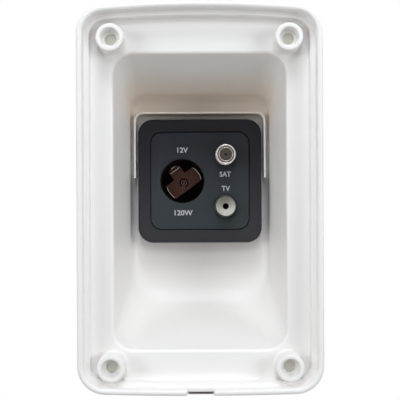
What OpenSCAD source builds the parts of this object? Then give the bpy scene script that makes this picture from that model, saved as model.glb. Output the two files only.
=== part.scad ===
// External multimedia socket for a caravan wall: a white moulded housing with a deep
// well, and in it a dark socket module with a 12 V outlet and two aerial connectors.
// Origin: middle of the four panel screws, on the back of the flange. X right, Z up, the front
// faces -Y.

/* [Flange] */
// Width of the flange beside the well's mouth
side_band = 14.5; // [13.5:0.1:18]
// Height of the flange above the mouth, without its crown
top_band = 18.7; // [17.5:0.1:24]
// Height of the flange below the mouth, without its crown
bottom_band = 16.9; // [16.5:0.1:24]
// Corner radius of the flange
flange_r = 12; // [9:0.5:16]
// Rise of the top edge at its middle
crown_top = 1.7; // [0.5:0.1:3]
// Drop of the bottom edge at its middle
crown_bottom = 0.6; // [0.3:0.1:2]
// Thickness of the flange plate
flange_t = 3; // [2.4:0.1:4]
// Height of the rim above the flange plate
rim_h = 10; // [8:0.5:12]
// Width of the bead on the rim
bead_w = 2.7; // [2.2:0.1:3.2]
// Width of the ledge inside the bead
ledge_w = 2.2; // [1.5:0.1:3]
// Depth of the ledge below the rim
ledge_drop = 5; // [3:0.5:6]
// Width of the finger scoop in the bottom rim
scoop_w = 13; // [9:0.5:16]
// Depth of the finger scoop
scoop_d = 2.6; // [1.6:0.1:4]

/* [Panel screws] */
// Distance of the screws outside the mouth, across
screw_side = 0.4; // [0:0.1:0.8]
// Distance of the screws outside the mouth, up and down
screw_end = 5.8; // [5.6:0.1:6.6]
// Diameter of a screw boss
boss_d = 11.8; // [10.5:0.1:12]
// Height of a screw boss above the flange plate
boss_h = 8.5; // [6:0.5:10]
// Diameter of the counterbore for a screw head
head_d = 8; // [7:0.1:9]
// Depth of the counterbore
head_depth = 4.5; // [3:0.5:6]
// Diameter of a screw hole
hole_d = 5; // [4:0.1:6]

/* [Well] */
// Width of the floor beside the module's frame
floor_side = 3.45; // [3.2:0.05:6]
// Height of the floor above the frame
floor_above = 11.1; // [8:0.1:20]
// Height of the floor below the frame
floor_below = 30.9; // [12:0.1:50]
// Slope of each side wall, from floor to mouth
side_draft = 4.3; // [2:0.1:8]
// Slope of the top and the bottom wall, from floor to mouth
end_draft = 13.45; // [6:0.05:20]
// Corner radius of the mouth
mouth_r = 9; // [7:0.5:12]
// Radius of the edge round the mouth
mouth_round = 2.4; // [1.5:0.1:3]
// Corner radius of the floor
floor_r = 7; // [5:0.5:10]
// Radius of the fillet round the floor
floor_fillet = 3.5; // [2:0.5:5]
// Height of the middle of the well above the middle of the screws
well_mid = 0.45; // [-1:0.05:1]
// Depth of the floor below the flange plate
well_depth = 48; // [44:1:60]
// Wall of the well
well_wall = 2.2; // [1.6:0.1:3]
// Thickness of the floor
floor_t = 2.5; // [2:0.1:4]

/* [Hood rib] */
// Gap between the hood's legs and the module's frame
hood_gap = 1.15; // [0.6:0.05:1.6]
// Gap between the hood's top and the frame
hood_head = 2.75; // [1:0.05:6]
// Height of the ends of its legs above the middle of the module
hood_end = 1.6; // [-5:0.1:10]
// Radius of its corners
hood_r = 4; // [2.5:0.5:7]
// Thickness of the rib
hood_t = 1; // [0.8:0.1:1.2]
// Height of the rib above the floor
hood_h = 9; // [6:0.5:12]

/* [Module] */
// Width of the frame's front lip
lip_w = 5.8; // [5.4:0.1:8]
// Corner radius of the frame
frame_r = 7.2; // [6:0.2:9]
// Wall of the frame's skirt
frame_wall = 2; // [1.8:0.1:2.1]
// Thickness of the frame's front lip
lip_t = 2; // [1.8:0.1:2.2]
// Rounding of the frame's front edge
frame_round = 1; // [0.5:0.1:1.4]
// Corner radius of the insert's face
insert_r = 5.3; // [4:0.1:6.5]
// Depth of the insert's face below the frame's front
insert_sink = 0.3; // [0:0.1:0.6]
// Thickness of the insert's face
insert_t = 2; // [1.8:0.1:2.2]
// Thickness of the insert's rear flange
insert_flange_t = 1.5; // [1.3:0.1:1.6]
// Distance of the floor's window inside the frame's edge
window_inset = 6.75; // [6.6:0.05:7]
// Corner radius of the window
window_r = 12; // [11:0.5:13]
// Thickness of the support's base
support_t = 2.5; // [2:0.1:3]
// Wall of the support's collar
collar_wall = 1.2; // [1:0.1:1.3]

/* [Power socket] */
// Diameter of the power socket's bore
power_d = 21; // [20.8:0.1:21.4]
// Depth of the bore behind the insert's face plate
power_depth = 40; // [36:1:46]
// Wall of the barrel
power_wall = 1.95; // [1.8:0.05:2]
// Thickness of the barrel's base
power_base = 3; // [2.5:0.5:5]
// Distance between the bore and the insert's left edge
power_edge = 4.6; // [4.4:0.1:8]
// Thickness of the barrel's flange
power_flange_t = 2; // [1.5:0.1:2.5]
// Width of the three-armed contact
contact_w = 8.5; // [6.5:0.5:10]
// Thickness of the contact metal
contact_t = 0.8; // [0.6:0.1:1]
// Height of the contact's turned-up ends
finger_h = 3.6; // [2:0.2:6]
// Angle of the contact above the horizontal
contact_angle = 36; // [0:1:60]

/* [Aerial connectors] */
// Distance between the power bore and the aerial connectors' axes
outlet_gap = 10.3; // [9:0.1:14]
// Distance of those axes from the insert's right edge
aerial_edge = 11.3; // [9:0.1:14]
// Distance between the two connectors
aerial_pitch = 24.65; // [22:0.05:30]
// Distance of the satellite connector below the insert's top edge
sat_edge = 10.95; // [10.6:0.05:14]
// Distance of the television connector above the insert's bottom edge
tv_edge = 11.1; // [11:0.05:14]
// Diameter of the satellite connector's barrel
sat_d = 9.5; // [9.3:0.1:9.7]
// Length of the satellite connector in front of the insert
sat_out = 8; // [6:0.5:10]
// Diameter of the television connector's nose
tv_d = 9.1; // [8.8:0.1:9.4]
// Length of the television connector in front of the insert
tv_out = 5.5; // [4:0.5:8]
// Diameter of the collar round the television connector
tv_collar_d = 10.7; // [10.3:0.1:11]
// Diameter of the television connector's pin hole
tv_hole_d = 2.5; // [2.2:0.1:3]
// Length of the connectors behind the insert
aerial_back = 16; // [12:0.5:20]

/* [Wall seal] */
// Thickness of the wall seal
seal_t = 1.5; // [1:0.1:3]
// Distance of the seal inside the flange's edge
seal_inset = 3; // [1:0.5:4]

/* [Clearances] */
// Gap between parts that slip into each other
slip = 0.25; // [0.2:0.01:0.3]
// Gap between the insert and the frame's opening
shadow_gap = 0.35; // [0.3:0.05:0.5]
// Gap between a screw and its pilot hole
screw_gap = 0.05; // [0.03:0.01:0.1]

/* [Hidden] */
$fn = 64;
soft_fn = 32;
arc_fn = 256;
film = 0.01;
over = 1;

// Outline sizes, from the outlets outwards
insert_w = power_edge + power_d + outlet_gap + aerial_edge;
insert_h = sat_edge + aerial_pitch + tv_edge;
frame_w = max(insert_w, insert_h) + 2 * (lip_w + shadow_gap);
floor_w = frame_w + 2 * floor_side;
floor_h = frame_w + floor_above + floor_below;
mouth_w = floor_w + 2 * side_draft;
mouth_h = floor_h + 2 * end_draft;
flange_w = mouth_w + 2 * side_band;
flange_h = mouth_h + top_band + bottom_band;
flange_mid = well_mid + (top_band - bottom_band) / 2;
module_mid = well_mid + (floor_below - floor_above) / 2;
screw_x = mouth_w + 2 * screw_side;
screw_z = mouth_h + 2 * screw_end;
hood_w = frame_w + 2 * hood_gap + hood_t;
hood_top = frame_w / 2 + hood_head + hood_t / 2;
window_w = frame_w - 2 * window_inset;

// Fastening of the aerial connectors behind the insert
hex_t = 2.6;
sat_hex = 11;
tv_hex = 12.4;
strap_t = 1;
strap_w = 11;
post_r = 2.2;
strap_head_r = 1.8;
strap_head_t = 1.2;
strap_shank_r = 0.95;
strap_grip = 2;
support_gap = 0.4;
frame_h = insert_sink + insert_t + hex_t + strap_t + strap_head_t + support_gap + support_t;

// Depths along Y, from the back of the flange
face_y = -flange_t;
rim_y = face_y - rim_h;
ledge_y = rim_y + ledge_drop;
boss_y = face_y - boss_h;
floor_y = face_y + well_depth;
shell_back = floor_y + floor_t;
frame_y = floor_y - frame_h;
lip_back = frame_y + lip_t;
insert_y = frame_y + insert_sink;
insert_back = insert_y + insert_t;
flange_end = lip_back + insert_flange_t;
support_y = floor_y - support_t;

// Module pieces
skirt_in = frame_w - 2 * frame_wall;
support_w = skirt_in - 2 * slip;
support_r = frame_r - frame_wall - slip;
collar_in = support_w - 2 * collar_wall;
collar_r = support_r - collar_wall;
insert_flange_w = collar_in - 2 * slip;
insert_flange_r = collar_r - slip;
insert_wall = 1.6;
snap_w = 9;

// Support screws
support_screw_at = support_w / 2 - 4.9;
support_head_r = 2.5;
support_head_t = 1.7;
support_shank_r = 1.2;
support_screw_l = 11;
rear_boss_r = 3.2;

// Power socket
power_r = power_d / 2;
power_x = power_edge + power_r - insert_w / 2;
barrel_r = power_r + power_wall;
barrel_flange_r = barrel_r + 1.35;
tube_r = barrel_flange_r + slip;
tube_wall = 1.2;
power_floor = insert_back + power_depth;
barrel_end = power_floor + power_base;
ring_t = 3;
tube_l = power_flange_t + 2;
contact_r = power_r - 0.8;
seat_h = finger_h + 0.4;
rivet_r = 1.5;
rivet_head_r = 2.6;
rivet_head_t = 0.8;
blade_w = 6.3;
blade_l = 11;
positive_foot = 10;
strip_w = 8;
strip_t = 0.6;
strip_y = insert_back + 16;
strip_r = barrel_r - 0.7;
tongue_l = 14;
tongue_w = 6;

// Aerial connectors
aerial_x = insert_w / 2 - aerial_edge;
sat_z = module_mid + insert_h / 2 - sat_edge;
tv_z = module_mid - insert_h / 2 + tv_edge;
sat_r = sat_d / 2;
tv_r = tv_d / 2;
tv_collar_r = tv_collar_d / 2;
aerial_end = insert_back + aerial_back;
strap_y = insert_back + hex_t;
strap_back = strap_y + strap_t;
sat_core_r = 2.8;
sat_ring_r = 3.15;
sat_face_r = 3.9;
sat_pin_r = 0.55;
tv_collar_out = 1.6;
tv_dish = 0.9;
tv_core_r = 2.4;
relief = 0.4;
post_at = insert_h / 2 - 2.35;

white = "whitesmoke";
dark = [0.20, 0.20, 0.21];
slate = [0.19, 0.21, 0.23];

// Sweeps a shape drawn in X and Z from one depth to another
module sweep(from, to) {
    translate([0, to, 0]) rotate([90, 0, 0]) linear_extrude(to - from) children();
}

// A round rod along Y
module rod(x, z, r, from, to) {
    translate([x, to, z]) rotate([90, 0, 0]) cylinder(r = r, h = to - from);
}

module rounded(w, h, r) {
    square([w - 2 * r, h], center = true);
    square([w, h - 2 * r], center = true);
    for (x = [-1, 1], z = [-1, 1])
        translate([x * (w / 2 - r), z * (h / 2 - r)]) circle(r = r);
}

// A shallow arc that rises by sag over the middle of an edge
module crown(w, edge, sag) {
    radius = (w * w / 4 + sag * sag) / (2 * sag);
    intersection() {
        translate([0, edge + sag - radius]) circle(r = radius, $fn = arc_fn);
        translate([-w / 2, edge - sag]) square([w, 3 * sag]);
    }
}

// The flange's outline, moved inwards by inset
module flange_outline(inset) {
    w = flange_w - 2 * inset;
    h = flange_h - 2 * inset;
    r = flange_r - inset;
    translate([0, flange_mid]) {
        rounded(w, h, r);
        crown(w - 2 * r, h / 2, crown_top);
        mirror([0, 1]) crown(w - 2 * r, h / 2, crown_bottom);
    }
}

// A thin sheet of the flange's outline, whose back lies at y
module flange_sheet(y, inset) {
    sweep(y - film, y) flange_outline(inset, $fn = soft_fn);
}

// A thin sheet of the well's section, whose back lies at y
module well_sheet(y, w, h, r) {
    sweep(y - film, y) translate([0, well_mid]) rounded(w, h, r, $fn = soft_fn);
}

// A size of the well at a depth, between its mouth and its floor
function well_at(y, mouth, floor) = mouth + (floor - mouth) * (y - face_y) / well_depth;

// A sheet of the well at a depth, wider by grow on every side
module well_ring(y, grow) {
    w = well_at(y, mouth_w, floor_w) + 2 * grow;
    h = well_at(y, mouth_h, floor_h) + 2 * grow;
    well_sheet(y, w, h, well_at(y, mouth_r, floor_r) + grow);
}

module tray() {
    difference() {
        hull() {
            flange_sheet(0, 0);
            flange_sheet(rim_y + bead_w / 2, 0);
            flange_sheet(rim_y + bead_w / 6, bead_w / 6);
            flange_sheet(rim_y + film, bead_w / 2);
        }
        sweep(rim_y - over, ledge_y) flange_outline(bead_w);
        sweep(rim_y - over, face_y) flange_outline(bead_w + ledge_w);
        // Rounds the inside of the bead in two steps, each cutting across the one before
        bead_cut(bead_w * 0.2, bead_w * 0.45, bead_w * 0.95);
        bead_cut(bead_w * 0.65, bead_w * 0.75, bead_w * 1.1);
        finger_scoop();
    }
}

// A shallow funnel into the rim: from one inset at the rim's front to another at a depth
module bead_cut(depth, from, to) {
    slope = (to - from) / depth;
    hull() {
        flange_sheet(rim_y - film, from - film * slope);
        flange_sheet(rim_y + depth, to);
    }
}

// A round-bottomed dip in the bottom rim, through the bead and the ledge
module finger_scoop() {
    radius = (scoop_w * scoop_w / 4 + scoop_d * scoop_d) / (2 * scoop_d);
    reach = bead_w + ledge_w + 1;
    translate([0, rim_y + scoop_d - radius, flange_mid - flange_h / 2 - crown_bottom - over])
        cylinder(r = radius, h = reach + crown_bottom + over);
}

module well_shell() {
    hull() {
        well_ring(face_y + film, well_wall);
        well_ring(shell_back - floor_fillet, well_wall);
        well_ring(shell_back, 0);
    }
}

module well_space() {
    hull() {
        well_ring(face_y, 0);
        well_ring(floor_y - floor_fillet, 0);
        well_ring(floor_y - floor_fillet * 0.3, -floor_fillet * 0.3);
        well_ring(floor_y, -floor_fillet);
    }
    mouth_cut(mouth_round * 0.5, mouth_round, 0);
    mouth_cut(mouth_round * 1.2, mouth_round * 0.4, -mouth_round * 0.2);
}

// A shallow funnel into the well: from one overhang at the face to another at a depth
module mouth_cut(depth, from, to) {
    hull() {
        well_ring(face_y - film, from);
        well_ring(face_y + depth, to);
    }
}

// Places children at the four panel screws
module at_panel_screws() {
    for (x = [-1, 1], z = [-1, 1])
        translate([x * screw_x / 2, 0, z * screw_z / 2]) children();
}

// Places children at the four screws that hold the support
module at_support_screws() {
    for (x = [-1, 1], z = [-1, 1])
        translate([x * support_screw_at, 0, module_mid + z * support_screw_at]) children();
}

module hood_rib() {
    sweep(floor_y - hood_h, floor_y + film) difference() {
        hood_outline(hood_t / 2);
        hood_outline(-hood_t / 2);
        translate([-hood_w, module_mid + hood_end - flange_h])
            square([2 * hood_w, flange_h]);
    }
}

module hood_outline(grow) {
    translate([0, module_mid]) rounded(hood_w + 2 * grow, 2 * (hood_top + grow), hood_r + grow);
}

module window_outline() {
    translate([0, module_mid]) rounded(window_w, window_w, window_r);
}

module housing() {
    color(white) {
        difference() {
            union() {
                tray();
                well_shell();
                at_panel_screws() rod(0, 0, boss_d / 2, boss_y, face_y + film);
                at_support_screws() rod(0, 0, rear_boss_r, floor_y, support_y + support_screw_l + 1);
            }
            well_space();
            sweep(floor_y - over, shell_back + over) window_outline();
            at_panel_screws() rod(0, 0, hole_d / 2, boss_y - over, over);
            at_panel_screws() rod(0, 0, head_d / 2, boss_y - over, boss_y + head_depth);
            at_support_screws()
                rod(0, 0, support_shank_r + screw_gap, floor_y - over, support_y + support_screw_l);
        }
        hood_rib();
    }
}

module wall_seal() {
    opening = well_wall + 1.4;
    color("dimgray") difference() {
        sweep(0, seal_t) flange_outline(seal_inset);
        sweep(-over, seal_t + over) translate([0, well_mid])
            rounded(mouth_w + 2 * opening, mouth_h + 2 * opening, mouth_r + opening);
        at_panel_screws() rod(0, 0, hole_d / 2 - 0.2, -over, seal_t + over);
    }
}

module module_square(w, r) {
    translate([0, module_mid]) rounded(w, w, r);
}

module frame_sheet(y, inset) {
    sweep(y, y + film) module_square(frame_w - 2 * inset, frame_r - inset, $fn = soft_fn);
}

module bezel_frame() {
    color(dark) difference() {
        hull() {
            frame_sheet(frame_y, frame_round);
            frame_sheet(frame_y + frame_round * 0.3, frame_round * 0.3);
            frame_sheet(frame_y + frame_round, 0);
            frame_sheet(floor_y - film, 0);
        }
        sweep(lip_back, floor_y + over) module_square(skirt_in, frame_r - frame_wall);
        sweep(frame_y - over, floor_y) translate([0, module_mid])
            rounded(insert_w + 2 * shadow_gap, insert_h + 2 * shadow_gap, insert_r + shadow_gap);
    }
}

module support_plate() {
    color("dimgray") difference() {
        union() {
            sweep(support_y, floor_y) module_square(support_w, support_r);
            difference() {
                sweep(flange_end, floor_y) module_square(support_w, support_r);
                sweep(flange_end - over, floor_y) module_square(collar_in, collar_r);
            }
            translate([-skirt_in / 2, support_y, module_mid - snap_w / 2])
                cube([skirt_in, support_t, snap_w]);
            translate([-snap_w / 2, support_y, module_mid - skirt_in / 2])
                cube([snap_w, support_t, skirt_in]);
        }
        sweep(support_y - over, floor_y + over) window_outline();
        at_support_screws()
            rod(0, 0, support_shank_r + slip, support_y - over, floor_y + over);
    }
}

module support_screws() {
    color("silver") at_support_screws() {
        rod(0, 0, support_head_r, support_y - support_head_t, support_y);
        rod(0, 0, support_shank_r, support_y - film, support_y + support_screw_l - over);
    }
}

module insert_plate() {
    color(slate) difference() {
        union() {
            sweep(insert_y, flange_end) translate([0, module_mid])
                rounded(insert_w, insert_h, insert_r);
            sweep(lip_back, flange_end) module_square(insert_flange_w, insert_flange_r);
            rod(power_x, module_mid, tube_r + tube_wall, insert_back, insert_back + tube_l);
            at_posts() rod(0, 0, post_r, insert_back, strap_y);
        }
        difference() {
            sweep(insert_back, flange_end + over) translate([0, module_mid])
                rounded(insert_w - 2 * insert_wall, insert_h - 2 * insert_wall, insert_r - insert_wall);
            rod(power_x, module_mid, tube_r + tube_wall, insert_y, insert_back + tube_l);
            at_posts() rod(0, 0, post_r, insert_y, strap_y);
        }
        rod(power_x, module_mid, power_r + 0.1, insert_y - over, insert_back + over);
        rod(power_x, module_mid, tube_r, insert_back, insert_back + tube_l + over);
        rod(aerial_x, sat_z, sat_r + 0.1, insert_y - over, insert_back + over);
        rod(aerial_x, tv_z, tv_collar_r + 0.1, insert_y - over, insert_back + over);
        at_posts() rod(0, 0, strap_shank_r + screw_gap, strap_y - strap_grip, strap_y + over);
    }
}

// Places children at the two posts that hold the connector strap
module at_posts() {
    for (z = [-1, 1])
        translate([aerial_x, 0, module_mid + z * post_at]) children();
}

// Turns children to the contact's own angle about the power socket's axis
module at_contact() {
    translate([power_x, 0, module_mid]) rotate([0, -contact_angle, 0]) children();
}

module power_barrel() {
    color([0.09, 0.09, 0.09]) difference() {
        union() {
            rod(power_x, module_mid, barrel_flange_r, insert_back, insert_back + power_flange_t);
            rod(power_x, module_mid, barrel_r, insert_back, barrel_end);
        }
        rod(power_x, module_mid, power_r, insert_back - over, power_floor - seat_h);
        rod(power_x, module_mid, contact_r + slip, insert_back - over, power_floor);
        rod(power_x, module_mid, rivet_r + screw_gap, power_floor - over, barrel_end + over);
        // Groove for the earth strip along the underside, and the window for its tongue
        translate([power_x - strip_w / 2 - slip, strip_y - slip, module_mid - barrel_r - over])
            cube([strip_w + 2 * slip, barrel_end - strip_y + over, barrel_r - strip_r + over]);
        translate([power_x - tongue_w / 2 - slip, strip_y + 2 - slip, module_mid - barrel_r - over])
            cube([tongue_w + 2 * slip, tongue_l + 2 * slip, barrel_r - power_r / 2]);
    }
}

module barrel_ring() {
    lug = 3;
    color([0.12, 0.12, 0.12]) difference() {
        rod(power_x, module_mid, tube_r - 0.1, insert_back + power_flange_t,
            insert_back + power_flange_t + ring_t);
        rod(power_x, module_mid, barrel_r + 0.1, insert_back, insert_back + power_flange_t + 2 * ring_t);
        // Four slots for a pin spanner
        for (turn = [45:90:315])
            translate([power_x, insert_back + power_flange_t + ring_t, module_mid])
                rotate([0, turn, 0]) translate([barrel_r - over, -ring_t / 3, -lug / 2])
                    cube([2 * lug, ring_t, lug]);
    }
}

module centre_contact() {
    color([0.55, 0.36, 0.26]) difference() {
        intersection() {
            union() {
                rod(power_x, module_mid, contact_r, power_floor - contact_t, power_floor);
                difference() {
                    rod(power_x, module_mid, contact_r,
                        power_floor - finger_h, power_floor - contact_t + film);
                    rod(power_x, module_mid, contact_r - contact_t,
                        power_floor - finger_h - over, power_floor);
                }
            }
            at_contact() {
                translate([-power_r, power_floor - finger_h - over, -contact_w / 2])
                    cube([2 * power_r, finger_h + 2 * over, contact_w]);
                translate([-contact_w * 0.4, power_floor - finger_h - over, 0])
                    cube([contact_w * 0.8, finger_h + 2 * over, power_r]);
            }
        }
        rod(power_x, module_mid, rivet_r + screw_gap, power_floor - finger_h - over, power_floor + over);
    }
}

module contact_rivet() {
    front = power_floor - contact_t;
    back = barrel_end + contact_t;
    color("silver") {
        translate([power_x, front, module_mid]) rotate([90, 0, 0])
            cylinder(r1 = rivet_head_r, r2 = rivet_head_r * 0.7, h = rivet_head_t);
        rod(power_x, module_mid, rivet_r, front - film, back + film);
        rod(power_x, module_mid, rivet_head_r, back, back + rivet_head_t);
    }
}

module positive_tab() {
    color("gold") difference() {
        union() {
            translate([power_x - blade_w / 2, barrel_end, module_mid - positive_foot / 2])
                cube([blade_w, contact_t, positive_foot]);
            translate([power_x - blade_w / 2, barrel_end, module_mid + positive_foot / 2 - contact_t])
                cube([blade_w, blade_l, contact_t]);
        }
        rod(power_x, module_mid, rivet_r + screw_gap, barrel_end - over, barrel_end + contact_t + over);
    }
}

// An earth strip let into the underside of the barrel, with a tongue that lines up with the bore
module ground_contact() {
    low = module_mid - strip_r;
    color("gold") {
        translate([power_x - strip_w / 2, strip_y, low - strip_t])
            cube([strip_w, barrel_end - strip_y, strip_t]);
        translate([power_x - blade_w / 2, barrel_end - film, low - strip_t])
            cube([blade_w, blade_l, strip_t]);
        intersection() {
            difference() {
                rod(power_x, module_mid, strip_r + strip_t, strip_y + 2, strip_y + 2 + tongue_l);
                rod(power_x, module_mid, power_r + 0.1, strip_y, strip_y + 2 * tongue_l);
            }
            translate([power_x - tongue_w / 2, strip_y, low - strip_t / 2])
                cube([tongue_w, 2 * tongue_l, strip_r]);
        }
    }
}

// The hexagon that bears on the insert's back, with flats above and below
module hexagon_rod(z, flats) {
    translate([aerial_x, strap_y, z]) rotate([90, 0, 0])
        cylinder(d = flats / cos(30), h = hex_t, $fn = 6);
}

// A connector's barrel, relieved where it passes through the insert and the strap
module threaded_rod(z, r, front) {
    rod(aerial_x, z, r, front, insert_y);
    rod(aerial_x, z, r - relief, insert_y - film, strap_back + film);
    rod(aerial_x, z, r, strap_back, aerial_end);
}

module sat_body() {
    front = insert_y - sat_out;
    color("silver") difference() {
        union() {
            threaded_rod(sat_z, sat_r, front);
            hexagon_rod(sat_z, sat_hex);
        }
        rod(aerial_x, sat_z, sat_core_r, front - over, aerial_end + over);
        difference() {
            rod(aerial_x, sat_z, sat_face_r, front - over, front + 0.8);
            rod(aerial_x, sat_z, sat_ring_r, front + 0.2, front + over);
        }
    }
}

module sat_insulator() {
    front = insert_y - sat_out + 0.5;
    color([0.42, 0.38, 0.34]) difference() {
        rod(aerial_x, sat_z, sat_core_r, front, aerial_end - 0.5);
        rod(aerial_x, sat_z, sat_pin_r, front - over, aerial_end);
    }
}

module sat_contact() {
    front = insert_y - sat_out + 1.5;
    color("gold") difference() {
        rod(aerial_x, sat_z, sat_pin_r, front, aerial_end - 1.5);
        rod(aerial_x, sat_z, sat_pin_r * 0.6, front - over, front + 6);
    }
}

module tv_body() {
    front = insert_y - tv_out;
    color("silver") difference() {
        union() {
            threaded_rod(tv_z, tv_r, front);
            rod(aerial_x, tv_z, tv_collar_r, insert_y - tv_collar_out, strap_y);
            hexagon_rod(tv_z, tv_hex);
        }
        translate([aerial_x, front + tv_dish, tv_z]) rotate([90, 0, 0])
            cylinder(r1 = tv_hole_d / 2, r2 = tv_r - 0.3, h = tv_dish + film);
        rod(aerial_x, tv_z, tv_hole_d / 2, front - over, insert_y);
        rod(aerial_x, tv_z, tv_core_r, front + tv_dish + 1.2, aerial_end + over);
    }
}

module tv_insulator() {
    front = insert_y - tv_out + tv_dish + 1.2;
    color("white") difference() {
        rod(aerial_x, tv_z, tv_core_r, front, aerial_end - 0.5);
        rod(aerial_x, tv_z, tv_hole_d / 2, front - over, aerial_end);
    }
}

module tv_contact() {
    front = insert_y - tv_out + tv_dish + 3;
    color("gold") difference() {
        rod(aerial_x, tv_z, tv_hole_d / 2, front, aerial_end - 1.5);
        rod(aerial_x, tv_z, tv_hole_d / 2 - 0.35, front - over, front + 10);
    }
}

module connector_strap() {
    color("silver") difference() {
        sweep(strap_y, strap_back) translate([aerial_x, module_mid])
            rounded(strap_w, 2 * (post_at + post_r), post_r);
        rod(aerial_x, sat_z, sat_r + 0.1, strap_y - over, strap_back + over);
        rod(aerial_x, tv_z, tv_r + 0.1, strap_y - over, strap_back + over);
        at_posts() rod(0, 0, strap_shank_r + slip, strap_y - over, strap_back + over);
    }
}

module strap_screws() {
    color("silver") at_posts() {
        rod(0, 0, strap_head_r, strap_back, strap_back + strap_head_t);
        rod(0, 0, strap_shank_r, strap_y - strap_grip + 0.2, strap_back + film);
    }
}

housing();
wall_seal();
bezel_frame();
support_plate();
support_screws();
insert_plate();
power_barrel();
barrel_ring();
centre_contact();
contact_rivet();
positive_tab();
ground_contact();
sat_body();
sat_insulator();
sat_contact();
tv_body();
tv_insulator();
tv_contact();
connector_strap();
strap_screws();
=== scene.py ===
"""Dresses the external multimedia socket: a white moulded housing with a deep well, and in it
a dark module with a 12 V outlet and two aerial connectors.

The outline helpers work in millimetres; meshes are turned to metres when they are made. The
front faces -Y, as in the CAD. Y is 0 at the back of the flange, and X and Z are 0 in the middle
of the four panel screws.
"""
import math

import bmesh
import bpy
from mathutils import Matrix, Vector


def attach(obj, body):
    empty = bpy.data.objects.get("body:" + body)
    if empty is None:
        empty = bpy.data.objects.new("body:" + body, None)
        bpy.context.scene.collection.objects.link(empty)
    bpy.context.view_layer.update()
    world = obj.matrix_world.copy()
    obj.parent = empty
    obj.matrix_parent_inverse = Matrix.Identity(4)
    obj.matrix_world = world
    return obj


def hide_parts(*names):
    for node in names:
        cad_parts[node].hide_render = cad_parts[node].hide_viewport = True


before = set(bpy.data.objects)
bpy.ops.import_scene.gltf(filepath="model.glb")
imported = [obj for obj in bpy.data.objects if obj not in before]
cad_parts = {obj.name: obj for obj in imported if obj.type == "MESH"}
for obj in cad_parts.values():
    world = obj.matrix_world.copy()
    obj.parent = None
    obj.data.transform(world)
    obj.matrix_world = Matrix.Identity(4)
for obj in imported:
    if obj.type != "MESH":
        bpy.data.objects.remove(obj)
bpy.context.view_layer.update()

MM = 0.001
# An overlap or a gap too small to see
HAIR = 0.02
# Radius at which a turned profile meets its axis
AXIS_R = 0.01

# Depths, from the flange's face to the rim and back into the well
FACE_Y = -3.0
RIM_Y = FACE_Y - 10.0
LEDGE_Y = RIM_Y + 5.0
FLOOR_Y = FACE_Y + 48.0
SHELL_BACK = FLOOR_Y + 2.5
FRAME_Y = FLOOR_Y - 10.0
LIP_BACK = FRAME_Y + 2.0
INSERT_Y = FRAME_Y + 0.3
INSERT_BACK = INSERT_Y + 2.0
CLIP_END = LIP_BACK + 1.5
STRAP_Y, REAR_THREAD_Y, REAR_THREAD_END, AERIAL_END = 39.9, 41.0, 53.0, 53.3

# Module, in half sizes from its middle
FRAME_HALF, FRAME_R, FRAME_ROUND, FRAME_WALL = 29.75, 7.2, 1.0, 2.0
LIP_ROUND, SHADOW_GAP = 0.35, 0.35
INSERT_HALF_W, INSERT_HALF_H, INSERT_R, INSERT_ROUND = 23.6, 23.35, 5.3, 0.4
CLIP_HALF, CLIP_R, CLIP_WALL = 26.05, 3.75, 1.6
WINDOW_HALF, WINDOW_R = FRAME_HALF - 6.75, 12.0

# Well, in half sizes of its floor and its mouth, with its corners and its rounds
FLOOR_ABOVE, FLOOR_BELOW, WELL_MID = 11.1, 30.9, 0.45
FLOOR_HALF_W = FRAME_HALF + 3.45
FLOOR_HALF_H = (FLOOR_ABOVE + 2 * FRAME_HALF + FLOOR_BELOW) / 2
FLOOR_R, FLOOR_LOW_R = 7.0, 16.0
MODULE_Z = WELL_MID + FLOOR_HALF_H - FLOOR_ABOVE - FRAME_HALF
MOUTH_HALF_W, MOUTH_HALF_H, MOUTH_R = FLOOR_HALF_W + 4.3, FLOOR_HALF_H + 13.45, 9.0
MOUTH_ROUND, FLOOR_ROUND, TOP_ROUND, LOW_ROUND = 1.5, 3.5, 5.5, 17.0
WELL_WALL, REAR_ROUND, NECK_Y, NECK_FILLET = 2.2, 9.0, 2.0, 0.6

# Flange, in half its width and the heights of its edges, with its bead and its ledge
FLANGE_HALF = MOUTH_HALF_W + 14.5
FLANGE_TOP = WELL_MID + MOUTH_HALF_H + 18.7
FLANGE_BOTTOM = WELL_MID - MOUTH_HALF_H - 16.9
FLANGE_R = 12.0
CROWN_TOP, CROWN_BOTTOM, CROWN_HALF = 1.7, 0.6, 40.0
BEAD_W, LEDGE_W = 2.7, 2.2
BEAD_FOOT_R, LEDGE_EDGE_R, PLATE_R = 0.15, 0.3, 0.4

# Screw bosses, and the posts behind the floor
SCREW_X, SCREW_Z = MOUTH_HALF_W + 0.4, MOUTH_HALF_H + 5.8
BOSS_R, BOSS_Y, HEAD_R, HEAD_DEPTH, HOLE_R = 5.9, FACE_Y - 8.5, 4.0, 4.5, 2.5
# Depths of the discs in the screw holes, a sheet that paints the shade seen through them
HOLE_DISC_Y, HOLE_DISC_BACK = -4.9, -4.4
POST_AWAY, POST_R, POST_END, POST_EDGE = 22.6, 3.2, 54.2, 0.3

# Finger notch in the bottom rim, and the narrow slot behind its edge
NOTCH_HALF, NOTCH_Y, NOTCH_REACH, NOTCH_ROUND = 5.6, -10.9, 1.8, 2.1
NOTCH_FADE, NOTCH_FLATTEN, NEAR = 0.8, 0.03, 0.1
SLOT_SIDE, SLOT_LIP, SLOT_TOP = 0.3, 0.28, 1.0

# Hood rib round the top of the module
HOOD_HALF, HOOD_TOP, HOOD_R = FRAME_HALF + 1.65, MODULE_Z + FRAME_HALF + 3.25, 4.0
HOOD_END, HOOD_HALF_T, HOOD_H, HOOD_FOOT = MODULE_Z + 1.6, 0.5, 9.0, 1.0

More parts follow.
